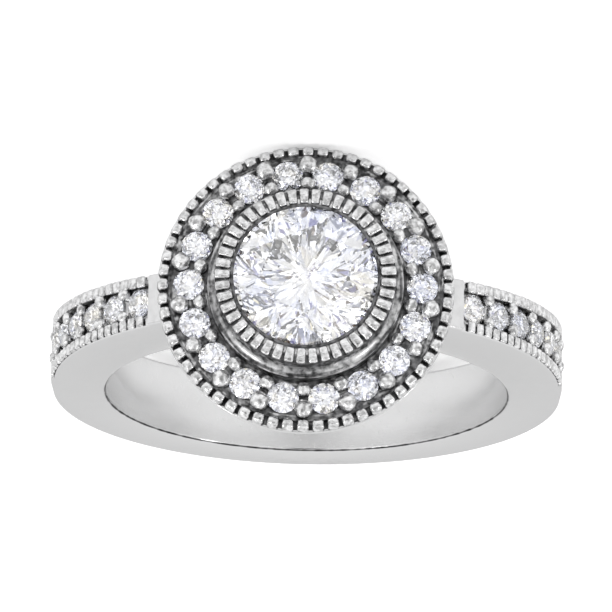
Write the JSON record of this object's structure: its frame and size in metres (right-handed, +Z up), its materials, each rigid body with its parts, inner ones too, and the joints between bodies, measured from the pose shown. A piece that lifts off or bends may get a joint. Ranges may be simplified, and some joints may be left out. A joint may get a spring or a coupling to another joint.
{
  "type": "halo ring",
  "caption": "Finger ring lying on its side: a bezel-set round centre stone in a milgrain-edged halo of small stones, with stone-set shoulders.",
  "frame": {"origin": "middle of the bounding box's base, on the surface that the ring lies on", "axes": "+Z up, with the finger hole's axis about 10 degrees from it; the head faces -Y; +X is to the right seen from the head"},
  "size_m": [0.022, 0.026, 0.0117],
  "materials": {
    "white_gold": "polished white gold, darkened in the recesses round the stones",
    "centre_stone": "clear faceted diamond",
    "halo_stones": "clear faceted diamonds",
    "shoulder_stones": "clear faceted diamonds"
  },
  "bodies": {
    "root": {"ring_mount": "white_gold", "centre_stone": "centre_stone", "halo_stone_1": "halo_stones", "halo_stone_2": "halo_stones", "halo_stone_3": "halo_stones", "halo_stone_4": "halo_stones", "halo_stone_5": "halo_stones", "halo_stone_6": "halo_stones", "halo_stone_7": "halo_stones", "halo_stone_8": "halo_stones", "halo_stone_9": "halo_stones", "halo_stone_10": "halo_stones", "halo_stone_11": "halo_stones", "halo_stone_12": "halo_stones", "halo_stone_13": "halo_stones", "halo_stone_14": "halo_stones", "halo_stone_15": "halo_stones", "halo_stone_16": "halo_stones", "halo_stone_17": "halo_stones", "halo_stone_18": "halo_stones", "shoulder_stone_1": "shoulder_stones", "shoulder_stone_2": "shoulder_stones", "shoulder_stone_3": "shoulder_stones", "shoulder_stone_4": "shoulder_stones", "shoulder_stone_5": "shoulder_stones", "shoulder_stone_6": "shoulder_stones", "shoulder_stone_7": "shoulder_stones", "shoulder_stone_8": "shoulder_stones", "shoulder_stone_9": "shoulder_stones", "shoulder_stone_10": "shoulder_stones", "shoulder_stone_11": "shoulder_stones", "shoulder_stone_12": "shoulder_stones"}
  },
  "joints": []
}
